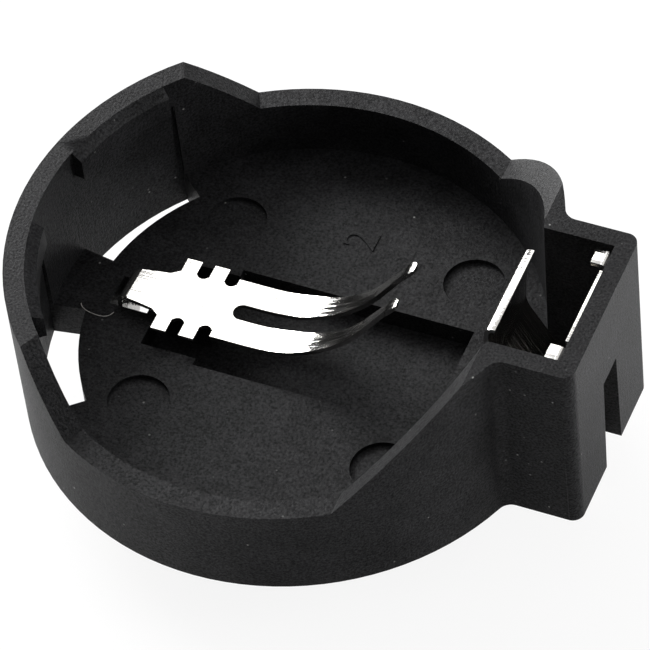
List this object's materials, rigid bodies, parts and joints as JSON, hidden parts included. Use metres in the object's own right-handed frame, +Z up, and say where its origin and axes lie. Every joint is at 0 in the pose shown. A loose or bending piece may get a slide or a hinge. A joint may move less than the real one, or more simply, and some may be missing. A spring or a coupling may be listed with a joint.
{
  "type": "coin cell holder",
  "caption": "Open round through-hole holder for a coin cell, with retaining lips, a forked spring contact under the cell and a square box with a leaf contact at its side.",
  "frame": {"origin": "on the axis of the round cup, on the flat underside that sits on the circuit board", "axes": "+X from the retaining lips towards the contact box, +Y across, +Z up and away from the board"},
  "size_m": [0.0253, 0.0228, 0.0123],
  "materials": {
    "housing_plastic": "fine matt grain, near black",
    "contact_metal": "bright nickel plate over spring metal"
  },
  "bodies": {
    "root": {"housing": "housing_plastic", "negative_contact": "contact_metal", "positive_contact": "contact_metal"}
  },
  "joints": []
}
